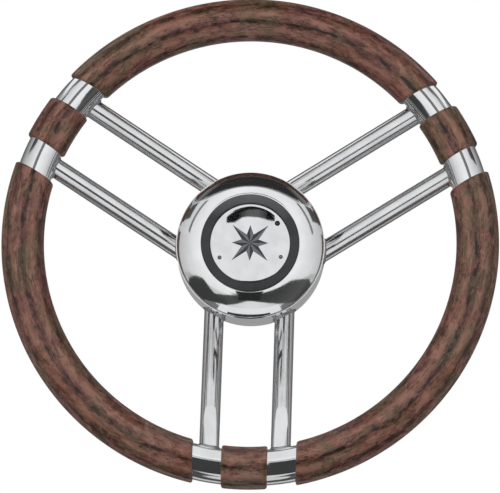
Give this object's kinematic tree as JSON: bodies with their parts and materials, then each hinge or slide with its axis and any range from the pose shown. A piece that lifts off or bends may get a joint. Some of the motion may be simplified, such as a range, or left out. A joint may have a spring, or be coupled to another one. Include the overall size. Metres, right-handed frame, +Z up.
{
  "type": "boat steering wheel",
  "caption": "Dished boat steering wheel: round-section rim with burl grips and bare polished bands, tubular spokes in parallel pairs, cylindrical hub with domed cover and push-in cap.",
  "frame": {"origin": "centre of the hub's back face, on the axis of the helm shaft", "axes": "+Y backwards along the shaft, out of the hub, so the face of the wheel looks along -Y; +Z up, with the lowest spokes pointing straight down along -Z; +X to the right seen from the front"},
  "size_m": [0.35, 0.061, 0.35],
  "materials": {
    "polished_steel": "mirror polished stainless steel",
    "burl_grip": "glossy mottled burl-wood look under clear lacquer",
    "black_rubber": "matte",
    "boss_aluminium": "turned, satin",
    "screw_steel": "satin",
    "cap_plastic": "satin dark grey",
    "cap_face": "clear-coated, with a printed wind rose"
  },
  "bodies": {
    "root": {"boss_screws": "screw_steel", "cap_body": "cap_plastic", "cap_disc": "cap_face", "cap_seal": "black_rubber", "hub_boss": "boss_aluminium", "hub_cup": "polished_steel", "hub_dome": "polished_steel", "hub_gasket": "black_rubber", "hub_welds": "polished_steel", "long_grip_left": "burl_grip", "long_grip_right": "burl_grip", "long_grip_top": "burl_grip", "rim_ring": "polished_steel", "rim_welds": "polished_steel", "short_grip_bottom": "burl_grip", "short_grip_left": "burl_grip", "short_grip_right": "burl_grip", "spoke_bottom_left": "polished_steel", "spoke_bottom_right": "polished_steel", "spoke_left_lower": "polished_steel", "spoke_left_upper": "polished_steel", "spoke_right_lower": "polished_steel", "spoke_right_upper": "polished_steel"}
  },
  "joints": []
}
